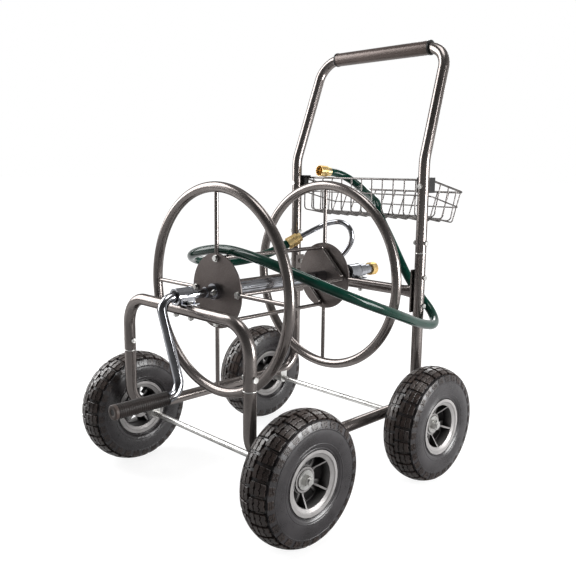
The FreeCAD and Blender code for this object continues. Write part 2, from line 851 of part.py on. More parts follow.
def disc_fasteners():
    solids = []
    face = front_ring_y - disc_thickness / 2
    for index in range(4):
        start = reel_point(face, drum_rod_circle, 90.0 * index)
        head = hexagon(start - along_y * (bolt_head_height + washer_thickness), along_y,
                       bolt_head_height, bolt_head_size)
        washer = rod(start - along_y * washer_thickness, along_y, washer_thickness, disc_washer_radius)
        shank = rod(start, along_y, disc_thickness + disc_bolt_reach(), bolt_radius)
        solids.append(head.fuse([washer, shank]).removeSplitter())
    return group(solids)


def axle_pipe():
    start = Vector(0, axle_pipe_front, reel_z)
    bore = axle_pipe_radius - axle_pipe_wall
    tube = sleeve(start, along_y, axle_pipe_end - axle_pipe_front, axle_pipe_radius, bore)
    tube = drill(tube, Vector(-2 * axle_pipe_radius, crank_pin_y, reel_z), along_x, 4 * axle_pipe_radius)
    return drill(tube, Vector(0, outlet_pipe_y, reel_z), along_z, 2 * axle_pipe_radius, outlet_pipe_radius)


# ----------------------------------------------------------------------- crank

def crank_arm():
    points = [Vector(0, crank_shaft_start, reel_z), Vector(0, crank_arm_y, reel_z),
              Vector(crank_grip_x, crank_arm_y, crank_grip_z),
              Vector(crank_grip_x, crank_end_y, crank_grip_z)]
    arm = bent_tube(points, [crank_bend, crank_bend], crank_radius, crank_radius - crank_wall)
    plug_start = Vector(crank_grip_x, crank_end_y, crank_grip_z)
    arm = arm.fuse(rod(plug_start, along_y, crank_plug_length, crank_radius - crank_wall))
    arm = arm.cut(rod(plug_start, along_y, crank_plug_length, bolt_radius))
    return drill(arm, Vector(-2 * crank_radius, crank_pin_y, reel_z), along_x, 4 * crank_radius)


def crank_pin():
    return group(bolt(Vector(axle_pipe_radius, crank_pin_y, reel_z), Vector(-1, 0, 0), 2 * axle_pipe_radius))


def grip_end_pocket():
    return crank_end_y - (crank_end_y - grip_end_y) / 2


def grip_fasteners():
    """Washer on the arm inboard of the grip, and the screw in the grip's end."""
    washer = sleeve(Vector(crank_grip_x, grip_start_y + wheel_play, crank_grip_z), along_y,
                    grip_washer_thickness, grip_radius, crank_radius)
    pocket = grip_end_pocket()
    head = rod(Vector(crank_grip_x, pocket - wheel_play, crank_grip_z), Vector(0, -1, 0),
               grip_screw_head, bolt_head_size / 2)
    shank = rod(Vector(crank_grip_x, pocket - wheel_play, crank_grip_z), along_y,
                crank_end_y - pocket + grip_screw_depth, bolt_radius)
    return group([washer, head.fuse(shank)])


def crank_grip():
    length = grip_start_y - grip_end_y
    start = Vector(crank_grip_x, grip_start_y, crank_grip_z)
    outward = Vector(0, -1, 0)
    body = rod(start, outward, length, grip_radius)
    body = body.cut(rod(start, outward, grip_start_y - crank_end_y + wheel_play, crank_radius + running_gap))
    body = body.cut(rod(start, outward, length, bolt_radius + grip_screw_room))
    pocket = Vector(crank_grip_x, grip_end_pocket(), crank_grip_z)
    body = body.cut(rod(pocket, outward, length, bolt_head_size / 2 + grip_screw_room))
    pitch = length / (grip_rib_count + 1)
    for index in range(grip_rib_count):
        middle = Vector(crank_grip_x, grip_start_y - pitch * (index + 1), crank_grip_z)
        groove_length = pitch * grip_groove_share
        groove = sleeve(middle, outward, groove_length, grip_radius + 1, grip_radius - grip_rib_depth)
        body = body.cut(groove)
    return body


# -------------------------------------------------------------- water fittings

def coupling_nut(start, direction, length, radius, lip_bore):
    """Swivel nut: a back lip that runs on a neck, room for its flange, and a threaded socket."""
    unit = Vector(direction).normalize()
    hex_length = length * nut_flats_share
    room = neck_flange_radius + wheel_play
    thread_start = neck_length + neck_flange_length
    chamfer = (radius - thread_radius) / 2
    outline = [(0, lip_bore), (0, radius), (length - chamfer, radius), (length, radius - chamfer),
               (length, thread_radius),
               (thread_start, thread_radius), (thread_start, room), (coupling_lip, room),
               (coupling_lip, lip_bore)]
    nut = turned(outline, start, unit)
    flats = hexagon(start - unit, unit, hex_length + 1, 2 * radius - thread_wall_step)
    collar = rod(start + unit * hex_length, unit, length - hex_length, radius)
    return nut.common(flats.fuse(collar))


def inlet_swivel_body():
    bore = axle_pipe_radius + running_gap
    step = swivel_bore_length
    neck_end = swivel_length + neck_length
    groove = bore + seal_height
    middle = step / 2
    waist_start = swivel_shoulder_length + swivel_taper_length
    outline = [(0, bore), (0, swivel_radius), (swivel_shoulder_length, swivel_radius),
               (waist_start, swivel_waist_radius), (swivel_length, swivel_waist_radius),
               (swivel_length, neck_radius), (neck_end, neck_radius), (neck_end, neck_flange_radius),
               (neck_end + neck_flange_length, neck_flange_radius),
               (neck_end + neck_flange_length, waterway_radius), (step, waterway_radius), (step, bore),
               (middle + seal_width, bore), (middle + seal_width, groove), (middle, groove), (middle, bore)]
    return turned(outline, Vector(0, swivel_start, reel_z), along_y)


def swivel_seal():
    start = Vector(0, swivel_start + swivel_bore_length / 2, reel_z)
    bore = axle_pipe_radius + running_gap
    return sleeve(start, along_y, seal_width, bore + seal_height, bore)


def inlet_coupling():
    start = Vector(0, swivel_start + swivel_length + wheel_play, reel_z)
    return coupling_nut(start, along_y, inlet_nut_length, inlet_nut_radius, neck_radius + running_gap)


def outlet_pipe():
    radii = cord_radii(outlet_route)
    bore = outlet_pipe_radius - outlet_pipe_wall
    path = rounded_route(outlet_route, radii)
    return pipe(path, outlet_pipe_radius).cut(pipe(path, bore))


def outlet_coupling():
    """Brass fitting brazed on the end of the outlet pipe, facing the hose."""
    start = outlet_route[-1] - outlet_heading * outlet_socket_depth
    length = outlet_coupling_length
    collar = coupling_radius - outlet_collar_step
    outline = [(0, outlet_pipe_radius), (0, collar), (outlet_collar_length, collar),
               (outlet_collar_length, coupling_radius), (length, coupling_radius),
               (length, waterway_radius), (outlet_socket_depth, waterway_radius),
               (outlet_socket_depth, outlet_pipe_radius)]
    body = turned(outline, start, outlet_heading)
    flats_length = length - outlet_ring_length
    flats = hexagon(start, outlet_heading, flats_length, 2 * coupling_radius - thread_wall_step)
    ring_start = start + outlet_heading * flats_length
    return body.common(flats.fuse(rod(ring_start, outlet_heading, outlet_ring_length, coupling_radius)))


def hose_tail():
    """Crimped ferrule on the hose's far end, with the neck that its nut runs on."""
    neck_end = ferrule_length + neck_length
    ferrule_radius = hose_radius + ferrule_wall
    outline = [(0, waterway_radius), (0, ferrule_radius), (ferrule_length, ferrule_radius),
               (ferrule_length, hose_neck_radius), (neck_end, hose_neck_radius),
               (neck_end, neck_flange_radius),
               (neck_end + neck_flange_length, neck_flange_radius),
               (neck_end + neck_flange_length, waterway_radius)]
    return turned(outline, hose_route[-1], hose_end_heading)


def hose_coupling():
    start = hose_route[-1] + hose_end_heading * (ferrule_length + wheel_play)
    return coupling_nut(start, hose_end_heading, coupling_length, coupling_radius,
                        hose_neck_radius + running_gap)


# ---------------------------------------------------------------------- basket

def basket_rim_corners(half_width, front, rear):
    front_y, front_z = front
    rear_y, rear_z = rear
    return [Vector(-half_width, front_y, front_z), Vector(half_width, front_y, front_z),
            Vector(half_width, rear_y, rear_z), Vector(-half_width, rear_y, rear_z)]


def basket_rim_height(y):
    share = (y - basket_front_y) / (basket_rear_y - basket_front_y)
    return basket_front_z + share * (basket_rear_z - basket_front_z)


def floor_height(y):
    share = (y - basket_front_y) / (floor_rear_y - basket_front_y)
    return floor_front_z + share * (floor_rear_z - floor_front_z)


def wire_basket():
    front = (basket_front_y, basket_front_z)
    rear = (basket_rear_y, basket_rear_z)
    wires = [hoop(basket_rim_corners(basket_half_width, front, rear), basket_corner, rim_wire_radius)]
    mid_front = (basket_front_y, basket_front_z - basket_mid_drop)
    mid_rear = (basket_rear_y - basket_mid_rear_inset, basket_rear_z - basket_mid_drop)
    mid_corners = basket_rim_corners(basket_half_width - mid_wire_inset, mid_front, mid_rear)
    wires.append(hoop(mid_corners, basket_corner, mesh_wire_radius))
    bends = [mesh_wire_bend] * 2
    for index in range(-basket_wire_pairs, basket_wire_pairs + 1):
        x = index * basket_wire_pitch
        points = [Vector(x, basket_front_y, basket_front_z), Vector(x, basket_front_y, floor_front_z),
                  Vector(x, floor_rear_y, floor_rear_z), Vector(x, basket_rear_y, basket_rear_z)]
        wires.append(bent_rod(points, bends, mesh_wire_radius))
    for index in range(long_wire_count):
        y = basket_front_y + first_long_wire_inset + index * long_wire_pitch
        height = floor_height(y) + wire_cross_lift
        top_y = y + long_wire_lean
        top_z = basket_rim_height(top_y)
        points = [Vector(-basket_half_width, top_y, top_z), Vector(-floor_half_width, y, height),
                  Vector(floor_half_width, y, height), Vector(basket_half_width, top_y, top_z)]
        wires.append(bent_rod(points, bends, mesh_wire_radius))
    return wires[0].fuse(wires[1:])


def basket_clips():
    front = (basket_front_y, basket_front_z)
    rear = (basket_rear_y, basket_rear_z)
    rim_space = hoop(basket_rim_corners(basket_half_width, front, rear), basket_corner,
                     rim_wire_radius + spigot_gap)
    solids = []
    for side in (-1, 1):
        x = side * (leg_x - clip_shift)
        clip = block((x - clip_half_width, clip_front_y, clip_low),
                     (x + clip_half_width, clip_rear_y, clip_high))
        leg_start = Vector(side * leg_x, leg_y, clip_low - 1)
        clip = clip.cut(rod(leg_start, along_z, clip_high - clip_low + 2, frame_tube_radius))
        clip = clip.cut(rim_space)
        space = block((-basket_half_width - 5, basket_front_y - clip_wire_slot, clip_low - 1),
                      (basket_half_width + 5, clip_rear_y + 1, basket_front_z))
        clip = clip.cut(space)
        clip = drill(clip, Vector(side * leg_x, leg_y, clip_bolt_z), along_y, 2 * (clip_rear_y - leg_y))
        solids.append(clip)
    return group(solids)


def clip_fasteners():
    """Screws through the legs into the clips, ending short of the basket's wires."""
    front = leg_y - frame_tube_radius
    solids = []
    for side in (-1, 1):
        start = Vector(side * leg_x, front, clip_bolt_z)
        head = hexagon(start - along_y * bolt_head_height, along_y, bolt_head_height, bolt_head_size)
        shank = rod(start - along_y, along_y, basket_front_y - clip_wire_slot - front, bolt_radius)
        solids.append(head.fuse(shank).removeSplitter())
    return group(solids)


# -------------------------------------------------------- hose and outlet pipe

def cord_radii(points):
    """Each bend as large as its two runs allow."""
    radii = []
    for before, corner, after in zip(points, points[1:], points[2:]):
        turn = math.pi - (before - corner).getAngle(after - corner)
        shorter = min((before - corner).Length, (after - corner).Length)
        radii.append(bend_share * shorter / math.tan(turn / 2))
    return radii


outlet_route = [Vector(0, outlet_pipe_y, reel_z + axle_pipe_radius - axle_pipe_wall + hose_gap),
                Vector(0, 200, 474), Vector(32, 197, 498), Vector(54, 195, 528), Vector(47, 194, 557),
                Vector(20, 191, 571), Vector(-13, 185, 566), Vector(-45, 170, 550), Vector(-67, 131, 527)]
outlet_heading = (outlet_route[-1] - outlet_route[-2]).normalize()
outlet_mouth = outlet_route[-1] + outlet_heading * (outlet_coupling_length - outlet_socket_depth)

hose_route = [outlet_mouth + outlet_heading * hose_gap,
              outlet_mouth + outlet_heading * hose_straight_run, Vector(-126, 36, 479),
              Vector(-154, 2, 471), Vector(-173, -36, 471), Vector(-180, -75, 477), Vector(-168, -112, 488),
              Vector(-140, -137, 500), Vector(-102, -147, 512), Vector(-51, -149, 522), Vector(0, -147, 526),
              Vector(54, -149, 522), Vector(110, -149, 514), Vector(163, -143, 502), Vector(210, -126, 486),
              Vector(248, -98, 467), Vector(276, -58, 447), Vector(291, -10, 427), Vector(294, 42, 408),
              Vector(288, 94, 390), Vector(279, 142, 373), Vector(271, 190, 359), Vector(263, 237, 349),
              Vector(244, 270, 355), Vector(217, 290, 372), Vector(190, 292, 395), Vector(165, 295, 418),
              Vector(142, 297, 444), Vector(120, 299, 475), Vector(98, 300, 509), Vector(77, 301, 541),
              Vector(57, 301, 569), Vector(43, 303, 598), Vector(24, 317, 618), Vector(-5, 338, 625),
              Vector(-38, 358, 634), Vector(-72, 370, 650), Vector(-101, 360, 670), Vector(-118, 334, 685),
              Vector(-122, 304, 687.6)]
hose_end_heading = (hose_route[-1] - hose_route[-2]).normalize()


def hose():
    radii = cord_radii(hose_route)
    path = rounded_route(hose_route, radii)
    solid = pipe(path, hose_radius)
    expected = path.Length * math.pi * hose_radius ** 2
    print("hose bend radii", [round(radius) for radius in radii])
    print(f"hose length {path.Length:.0f} volume ratio {solid.Volume / expected:.5f}")
    return solid


# ------------------------------------------------------------------- all nodes

for side, word in ((-1, "left"), (1, "right")):
    save("side_rail_" + word, side_rail(side))
save("front_bridge", front_bridge())
save("rear_crossbar", rear_crossbar())
save("push_handle", push_handle())
save("handle_grip", handle_grip())
save("grip_end_rings", grip_end_rings())
save("frame_fasteners", frame_fasteners())

save("front_axle", axle(-axle_y))
save("rear_axle", axle(axle_y))
corners = [(side, y) for side in (-1, 1) for y in (-axle_y, axle_y)]
save("axle_saddles", group([axle_saddle(side, y) for side, y in corners]))
save("axle_spacers", group([axle_spacer(side, y) for side, y in corners]))
save("axle_fasteners", axle_fasteners())

wheels = [("front_left", -1, -axle_y, 12.0, 0.4), ("front_right", 1, -axle_y, 39.0, 0.15),
          ("rear_left", -1, axle_y, 30.0, 0.8), ("rear_right", 1, axle_y, 51.0, 0.65)]
treaded = tyre_form()
for word, side, y, phase, tread_turn in wheels:
    save("tyre_" + word, tyre(treaded, side, y, tread_turn))
    save("rim_" + word, rim(side, y, phase))
    save("inner_tube_" + word, inner_tube(side, y, phase))
    save("wheel_bearings_" + word, wheel_bearings(side, y))

save("front_bearing_bush", bearing_bush(-leg_y, crank_radius, front_bush_wall))
save("rear_bearing_bush", bearing_bush(leg_y, axle_pipe_radius, rear_bush_wall))
save("front_bearing_strap", bearing_strap(-leg_y, front_bush_radius))
save("rear_bearing_strap", bearing_strap(leg_y, rear_bush_radius))
save("strap_fasteners", strap_fasteners())

save("ring_front", ring(front_ring_y))
save("ring_rear", ring(rear_ring_y))
save("spokes_front", spokes(front_ring_y))
save("spokes_rear", spokes(rear_ring_y))
save("hub_disc_front", hub_disc(front_ring_y, True))
save("hub_disc_rear", hub_disc(rear_ring_y, False))
save("hub_collars", hub_collars())
save("drum_rod_upper", drum_rod_pair(90, 0))
save("drum_rod_lower", drum_rod_pair(270, 180))
save("disc_fasteners", disc_fasteners())
save("axle_pipe", axle_pipe())

save("crank_arm", crank_arm())
save("crank_pin", crank_pin())
save("crank_grip", crank_grip())
save("grip_fasteners", grip_fasteners())

save("inlet_swivel_body", inlet_swivel_body())
save("swivel_seal", swivel_seal())
save("inlet_coupling", inlet_coupling())
save("outlet_pipe", outlet_pipe())
save("outlet_coupling", outlet_coupling())
save("hose", hose())
save("hose_tail", hose_tail())
save("hose_coupling", hose_coupling())

save("wire_basket", wire_basket())
save("basket_clips", basket_clips())
save("clip_fasteners", clip_fasteners())
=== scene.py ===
import json
import math
import random

import bmesh
import bpy
from mathutils import Matrix, Vector


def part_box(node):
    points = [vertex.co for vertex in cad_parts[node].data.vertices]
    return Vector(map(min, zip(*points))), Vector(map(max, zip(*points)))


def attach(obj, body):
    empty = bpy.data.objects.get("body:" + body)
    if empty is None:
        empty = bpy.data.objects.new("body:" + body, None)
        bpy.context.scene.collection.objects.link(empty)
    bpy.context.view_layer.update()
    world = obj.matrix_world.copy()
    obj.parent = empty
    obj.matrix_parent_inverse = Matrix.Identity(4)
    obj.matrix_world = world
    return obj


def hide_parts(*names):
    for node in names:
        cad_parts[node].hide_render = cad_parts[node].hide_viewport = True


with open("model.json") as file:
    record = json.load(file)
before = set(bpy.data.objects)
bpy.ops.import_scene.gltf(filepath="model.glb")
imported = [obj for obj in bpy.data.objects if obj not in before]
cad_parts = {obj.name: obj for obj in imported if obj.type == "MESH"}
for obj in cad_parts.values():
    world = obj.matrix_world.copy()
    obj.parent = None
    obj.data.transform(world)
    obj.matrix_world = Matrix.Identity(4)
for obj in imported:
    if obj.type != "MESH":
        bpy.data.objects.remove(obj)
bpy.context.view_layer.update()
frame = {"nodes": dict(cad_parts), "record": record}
solids = frame["nodes"]
print("frame loaded:", len(solids), "solids")

millimetre = 0.001

viewSpec = {
    "place": (1.11969, -1.05784, 0.69323),
    "yaw": 45.2488,  # degrees from +Y towards -X
    "dip": 9.711,
    "roll": 0.6065,
    "lens": 43.37,
    "sensor": 36.0,
}


def makeCamera(spec):
    data = bpy.data.cameras.new("viewCamera")
    data.sensor_width = spec["sensor"]
    data.lens = spec["lens"]
    data.dof.use_dof = False
    camera = bpy.data.objects.new("viewCamera", data)
    turn = (Matrix.Rotation(math.radians(spec["yaw"]), 4, "Z")
            @ Matrix.Rotation(math.radians(90 - spec["dip"]), 4, "X")
            @ Matrix.Rotation(math.radians(spec["roll"]), 4, "Z"))
    camera.matrix_world = Matrix.Translation(spec["place"]) @ turn
    bpy.context.scene.collection.objects.link(camera)
    bpy.context.scene.camera = camera


makeCamera(viewSpec)
print("camera placed")


noiseRoughness = 0.55
unlit = (0.0, 0.0, 0.0)
lit = (1.0, 1.0, 1.0)


class Signal:  # one socket's value, which can be added and multiplied
    def __init__(self, finish, socket):
        self.finish = finish
        self.socket = socket

    def worked(self, operation, first, second):
        return self.finish.node("ShaderNodeMath", {"operation": operation},
                                {0: first, 1: second})

    def __add__(self, other):
        return self.worked("ADD", self, other)

    def __mul__(self, other):
        return self.worked("MULTIPLY", self, other)


class Finish:  # one material, or the world, and the nodes that make it
    def __init__(self, name, owner=None):
        self.owner = owner or bpy.data.materials.new(name)
        self.owner.use_nodes = True
        self.tree = self.owner.node_tree
        self.tree.nodes.clear()
        if owner is None:
            self.output = self.tree.nodes.new("ShaderNodeOutputMaterial")
            self.shader = self.tree.nodes.new("ShaderNodeBsdfPrincipled")
            self.tree.links.new(self.shader.outputs[0], self.output.inputs["Surface"])
            self.place = self.node("ShaderNodeTexCoord", output="Object")
        else:
            self.output = self.tree.nodes.new("ShaderNodeOutputWorld")

    def node(self, kind, settings=None, sockets=None, output=0):
        made = self.tree.nodes.new(kind)
        for key, value in (settings or {}).items():
            setattr(made, key, value)
        for key, value in (sockets or {}).items():
            self.feed(made.inputs[key], value)
        return Signal(self, made.outputs[output])

    def feed(self, socket, value):
        if isinstance(value, Signal):
            self.tree.links.new(value.socket, socket)
        elif hasattr(value, "__len__") and len(value) == 3 and socket.type == "RGBA":
            socket.default_value = (*value, 1)
        else:
            socket.default_value = value

    def set(self, **sockets):
        for key, value in sockets.items():
            self.feed(self.shader.inputs[key.replace("_", " ")], value)

    def noise(self, scale, detail):
        return self.node("ShaderNodeTexNoise", sockets={
            "Vector": self.place, "Scale": scale, "Detail": detail, "Roughness": noiseRoughness})

    def cells(self, scale):
        return self.node("ShaderNodeTexVoronoi", sockets={"Vector": self.place, "Scale": scale})

    def steps(self, value, low, high, lowOut=0.0, highOut=1.0):
        return self.node("ShaderNodeMapRange", {"clamp": True}, {
            "Value": value, "From Min": low, "From Max": high,
            "To Min": lowOut, "To Max": highOut})

    def blend(self, share, first, second):
        return self.node("ShaderNodeMix", {"data_type": "RGBA"},
                         {0: share, 6: first, 7: second}, output=2)

    def relief(self, height, distance, strength):
        return self.node("ShaderNodeBump", sockets={
            "Height": height, "Distance": distance, "Strength": strength})


def mixed(first, second, share):  # a share of the first signal and the rest of the second
    return first * share + second * (1 - share)


noiseSpan = (0.3, 0.7)  # between these a noise runs from all of one tone to all of the other

coatSpec = {
    "deep": (0.160, 0.140, 0.132),
    "pale": (0.320, 0.290, 0.277),
    "edge": (0.24, 0.225, 0.22),
    "speckle": (760, 2.0),  # scale and detail
    "speckleSpan": (0.36, 0.66),
    "drift": (12, 3.0),
    "toneShare": 0.55,  # of the speckle in the colour
    "driftShare": 0.4,  # of the drift in the roughness
    "roughness": (0.16, 0.25),
    "metal": 0.88,
    "gloss": 0.3,
    "varnish": 0.3,
    "varnishRoughness": 0.12,
    "dimples": (1150, 0.00006, 0.16),  # scale, depth and strength
}
shadedPlateSpec = dict(coatSpec, deep=(0.090, 0.077, 0.073), pale=(0.205, 0.182, 0.174),
                 roughness=(0.34, 0.48), varnish=0.0)  # a rougher, unvarnished copy of the coat for the flat discs, with darker tones as painted shade


def makeCoat(name, spec):  # hammered metallic powder coat
    finish = Finish(name)
    speckle = finish.noise(*spec["speckle"])
    drift = finish.noise(*spec["drift"])
    share = mixed(finish.steps(speckle, *spec["speckleSpan"]), finish.steps(drift, *noiseSpan),
                  spec["toneShare"])
    dimples, depth, strength = spec["dimples"]
    finish.set(
        Base_Color=finish.blend(share, spec["deep"], spec["pale"]),
        Metallic=spec["metal"],
        Coat_Weight=spec["varnish"],
        Coat_Roughness=spec["varnishRoughness"],
        Roughness=finish.steps(mixed(drift, speckle, spec["driftShare"]), *noiseSpan,
                               *spec["roughness"]),
        Specular_Tint=(*spec["edge"], 1),
        Specular_IOR_Level=spec["gloss"],
        Normal=finish.relief(finish.cells(dimples), depth, strength),
    )
    return finish.owner


metalSpec = {
    "cloud": (60, 4.0),  # scale and detail
    "fine": (700, 2.0),
    "cloudShare": 0.7,
    "toneSpan": (0.35, 0.68),
    "scratchDepth": 0.00006,
}


def makeBrightMetal(name, deep, pale, edge, roughness, scratch=0.12, metal=1.0):
    spec = metalSpec
    finish = Finish(name)
    cloud = finish.noise(*spec["cloud"])
    fine = finish.noise(*spec["fine"])
    tone = finish.steps(mixed(cloud, fine, spec["cloudShare"]), *spec["toneSpan"])
    finish.set(
        Base_Color=finish.blend(tone, deep, pale),
        Metallic=metal,
        Roughness=finish.steps(cloud, *noiseSpan, *roughness),
        Specular_Tint=(*edge, 1),
        Normal=finish.relief(fine, spec["scratchDepth"], scratch),
    )
    return finish.owner


rubberSpec = {
    "cloud": (22, 4.0),  # scale and detail
    "fineDetail": 3.0,
    "toneShare": 0.6,  # of the cloud in the colour
    "roughShare": 0.5,
    "toneSpan": (0.34, 0.68),
    "grainStrength": 0.5,
}


def makeRubber(name, deep, pale, roughness, grain, height=0.0002, gloss=0.35):
    spec = rubberSpec
    finish = Finish(name)
    cloud = finish.noise(*spec["cloud"])
    fine = finish.noise(grain, spec["fineDetail"])
    tone = finish.steps(mixed(cloud, fine, spec["toneShare"]), *spec["toneSpan"])
    finish.set(
        Base_Color=finish.blend(tone, deep, pale),
        Roughness=finish.steps(mixed(cloud, fine, spec["roughShare"]), *noiseSpan, *roughness),
        Specular_IOR_Level=gloss,
        Normal=finish.relief(fine, height, spec["grainStrength"]),
    )
    return finish.owner


foamSpec = {
    "deep": (0.022, 0.015, 0.013),
    "pale": (0.060, 0.042, 0.036),
    "edge": (1.0, 0.84, 0.78),
    "cloud": (26, 4.0),  # scale and detail
    "cloudSpan": (0.35, 0.7),
    "cloudShare": 0.6,
    "pores": 900,
    "poreSpan": (0.1, 0.6),
    "poreRoughness": (0.0, 0.7, 0.42, 0.28),
    "relief": (0.0003, 0.25),  # depth and strength
    "gloss": 0.9,
}


def makeFoam(spec):  # closed-cell sleeve with fine open pores
    finish = Finish("foamSleeve")
    pores = finish.cells(spec["pores"])
    cloud = finish.noise(*spec["cloud"])
    tone = mixed(finish.steps(cloud, *spec["cloudSpan"]), finish.steps(pores, *spec["poreSpan"]),
                 spec["cloudShare"])
    finish.set(
        Base_Color=finish.blend(tone, spec["deep"], spec["pale"]),
        Roughness=finish.steps(pores, *spec["poreRoughness"]),
        Normal=finish.relief(pores, *spec["relief"]),
        Specular_IOR_Level=spec["gloss"],
        Specular_Tint=(*spec["edge"], 1),
    )
    return finish.owner


rimSpec = {
    "deep": (0.32, 0.308, 0.303),
    "pale": (0.455, 0.440, 0.434),
    # painted shade: the dark colour laid into the dish's hollows by an occlusion mask
    "paintedShade": (0.030, 0.028, 0.028),
    "paintedShadeSpan": (0.42, 0.93),  # how open a place is, from painted shade to the enamel's own tone
    "paintedShadeReach": 0.050,
    "paintedShadeSamples": 8,
    "cloud": (26, 4.0),  # scale and detail
    "fine": (1400, 2.0),
    "cloudShare": 0.6,
    "toneSpan": (0.34, 0.68),
    "roughness": (0.34, 0.48),
    "metal": 0.30,
    "gloss": 0.3,
    "relief": (0.0001, 0.3),  # depth and strength
}


def makeRimPaint(spec):  # satin enamel, with painted shade laid deep inside the dish
    finish = Finish("rimPaint")
    cloud = finish.noise(*spec["cloud"])
    fine = finish.noise(*spec["fine"])
    tone = finish.steps(mixed(cloud, fine, spec["cloudShare"]), *spec["toneSpan"])
    # occlusion mask for the painted shade: low in hollows, high where open
    clear = finish.node("ShaderNodeAmbientOcclusion", {"samples": spec["paintedShadeSamples"]},
                        {"Distance": spec["paintedShadeReach"]}, "AO")
    finish.set(
        Base_Color=finish.blend(finish.steps(clear, *spec["paintedShadeSpan"]), spec["paintedShade"],
                                finish.blend(tone, spec["deep"], spec["pale"])),
        Metallic=spec["metal"],
        Roughness=finish.steps(cloud, *noiseSpan, *spec["roughness"]),
        Specular_IOR_Level=spec["gloss"],
        Normal=finish.relief(fine, *spec["relief"]),
    )
    return finish.owner


greenSpec = {
    "deep": (0.002, 0.024, 0.016),
    "pale": (0.004, 0.042, 0.028),
    "cloud": (40, 3.0),  # scale and detail
    "fine": (420, 3.0),
    "fineShare": 0.6,
    "roughness": (0.08, 0.15),
    "gloss": 0.34,
    "relief": (0.00012, 0.15),  # depth and strength
}


def makeHoseGreen(spec):
    finish = Finish("hoseGreen")
    cloud = finish.noise(*spec["cloud"])
    fine = finish.noise(*spec["fine"])
    finish.set(
        Base_Color=finish.blend(finish.steps(cloud, *noiseSpan), spec["deep"], spec["pale"]),
        Roughness=finish.steps(mixed(fine, cloud, spec["fineShare"]), *noiseSpan,
                               *spec["roughness"]),
        Specular_IOR_Level=spec["gloss"],
        Normal=finish.relief(fine, *spec["relief"]),
    )
    return finish.owner


finishes = {
    "frame": makeCoat("frameCoat", coatSpec),
    "rim": makeRimPaint(rimSpec),
    "zinc": makeBrightMetal("zincPlate", deep=(0.62, 0.61, 0.59), pale=(0.86, 0.86, 0.84),
                            edge=(0.60, 0.60, 0.60), roughness=(0.24, 0.38)),
    "chrome": makeBrightMetal("chromePlate", deep=(0.46, 0.47, 0.50), pale=(0.66, 0.67, 0.71),
                              edge=(0.10, 0.10, 0.11), roughness=(0.06, 0.13), scratch=0.04),
    "brass": makeBrightMetal("brassMetal", deep=(0.84, 0.56, 0.22), pale=(0.97, 0.76, 0.38),
                             edge=(0.60, 0.42, 0.20), roughness=(0.20, 0.34), metal=0.75),
    "foam": makeFoam(foamSpec),
    "crank_grip": makeRubber("gripRubber", deep=(0.009, 0.007, 0.006), pale=(0.028, 0.021, 0.019),
                             roughness=(0.34, 0.52), grain=900, gloss=0.3),
    "black_plastic": makeRubber("clipPlastic", deep=(0.006, 0.006, 0.006),
                                pale=(0.018, 0.017, 0.017), roughness=(0.30, 0.46), grain=1100,
                                height=0.0001),
    "bush": makeRubber("bushPlastic", deep=(0.008, 0.008, 0.008), pale=(0.024, 0.023, 0.022),
                       roughness=(0.36, 0.52), grain=1100, height=0.0001),
    "seal_rubber": makeRubber("sealRubber", deep=(0.006, 0.006, 0.006), pale=(0.016, 0.016, 0.016),
                              roughness=(0.5, 0.7), grain=900, height=0.0001),
    "wire": makeBrightMetal("basketWire", deep=(0.130, 0.122, 0.118), pale=(0.270, 0.255, 0.248),
                            edge=(0.25, 0.25, 0.25), roughness=(0.20, 0.34), scratch=0.1,
                            metal=0.85),
    "hose": makeHoseGreen(greenSpec),
    "tyre": makeRubber("treadRubber", deep=(0.014, 0.010, 0.009), pale=(0.074, 0.053, 0.045),
                       roughness=(0.20, 0.40), grain=700, height=0.0003, gloss=0.55),
}
sidewallRubber = makeRubber("sidewallRubber", deep=(0.012, 0.010, 0.011),
                            pale=(0.040, 0.036, 0.039), roughness=(0.22, 0.36), grain=1100,
                            height=0.0001, gloss=0.75)
nodeFinishes = {
    # the hub discs take the darker copy of the coat: painted shade
    "hub_disc_front": makeCoat("shadedPlateCoat", shadedPlateSpec),
    "hub_collars": finishes["chrome"],
    # the grip screw takes black plastic: painted shade standing in for the dark recess round it
    "grip_fasteners": finishes["bush"],
    "hose_tail": makeBrightMetal("paleBrass", deep=(0.84, 0.66, 0.36), pale=(0.96, 0.82, 0.52),
                                 edge=(0.5, 0.4, 0.2), roughness=(0.18, 0.30)),
}
nodeFinishes["hub_disc_rear"] = nodeFinishes["hub_disc_front"]
capRubber = makeRubber("capRubber", deep=(0.050, 0.036, 0.031), pale=(0.105, 0.080, 0.070),
                       roughness=(0.40, 0.56), grain=900)
print("finishes made")

hoseSpec = {
    "radius": 0.0105,
    "length": 1.684,
    "stepsPerPoint": 10,
    "roundness": 8,
    "start": (-0.07937, 0.12832, 0.51407),
    "route": [
        (-98.9, 93.7, 493.65), (-126, 55.25, 479), (-154, 21.25, 471), (-173, -16.75, 471),
        (-180, -55.75, 477), (-168, -92.75, 488), (-140, -117.75, 500), (-102, -127.75, 512),
        (-51, -129.75, 522), (0, -127.75, 526), (54, -129.75, 522), (110, -129.75, 514),
        (163, -123.75, 502), (210, -106.75, 486), (248, -78.75, 467), (276, -38.75, 447),
        (291, 9.25, 427), (294, 61.25, 408), (288, 113.25, 390), (279, 161.25, 373),
        (271, 209.25, 359), (263, 256.25, 349), (244, 289.25, 355), (217, 309.25, 372),
        (190, 311.25, 395), (165, 314.25, 418), (142, 316.25, 444), (120, 318.25, 475),
        (98, 319.25, 509), (77, 320.25, 541), (57, 320.25, 569), (43, 322.25, 598),
        (24, 336.25, 618), (-5, 357.25, 625), (-38, 377.25, 634), (-72, 389.25, 650),
        (-101, 379.25, 670), (-118, 353.25, 685), (-122, 323.25, 687.6),
    ],
}


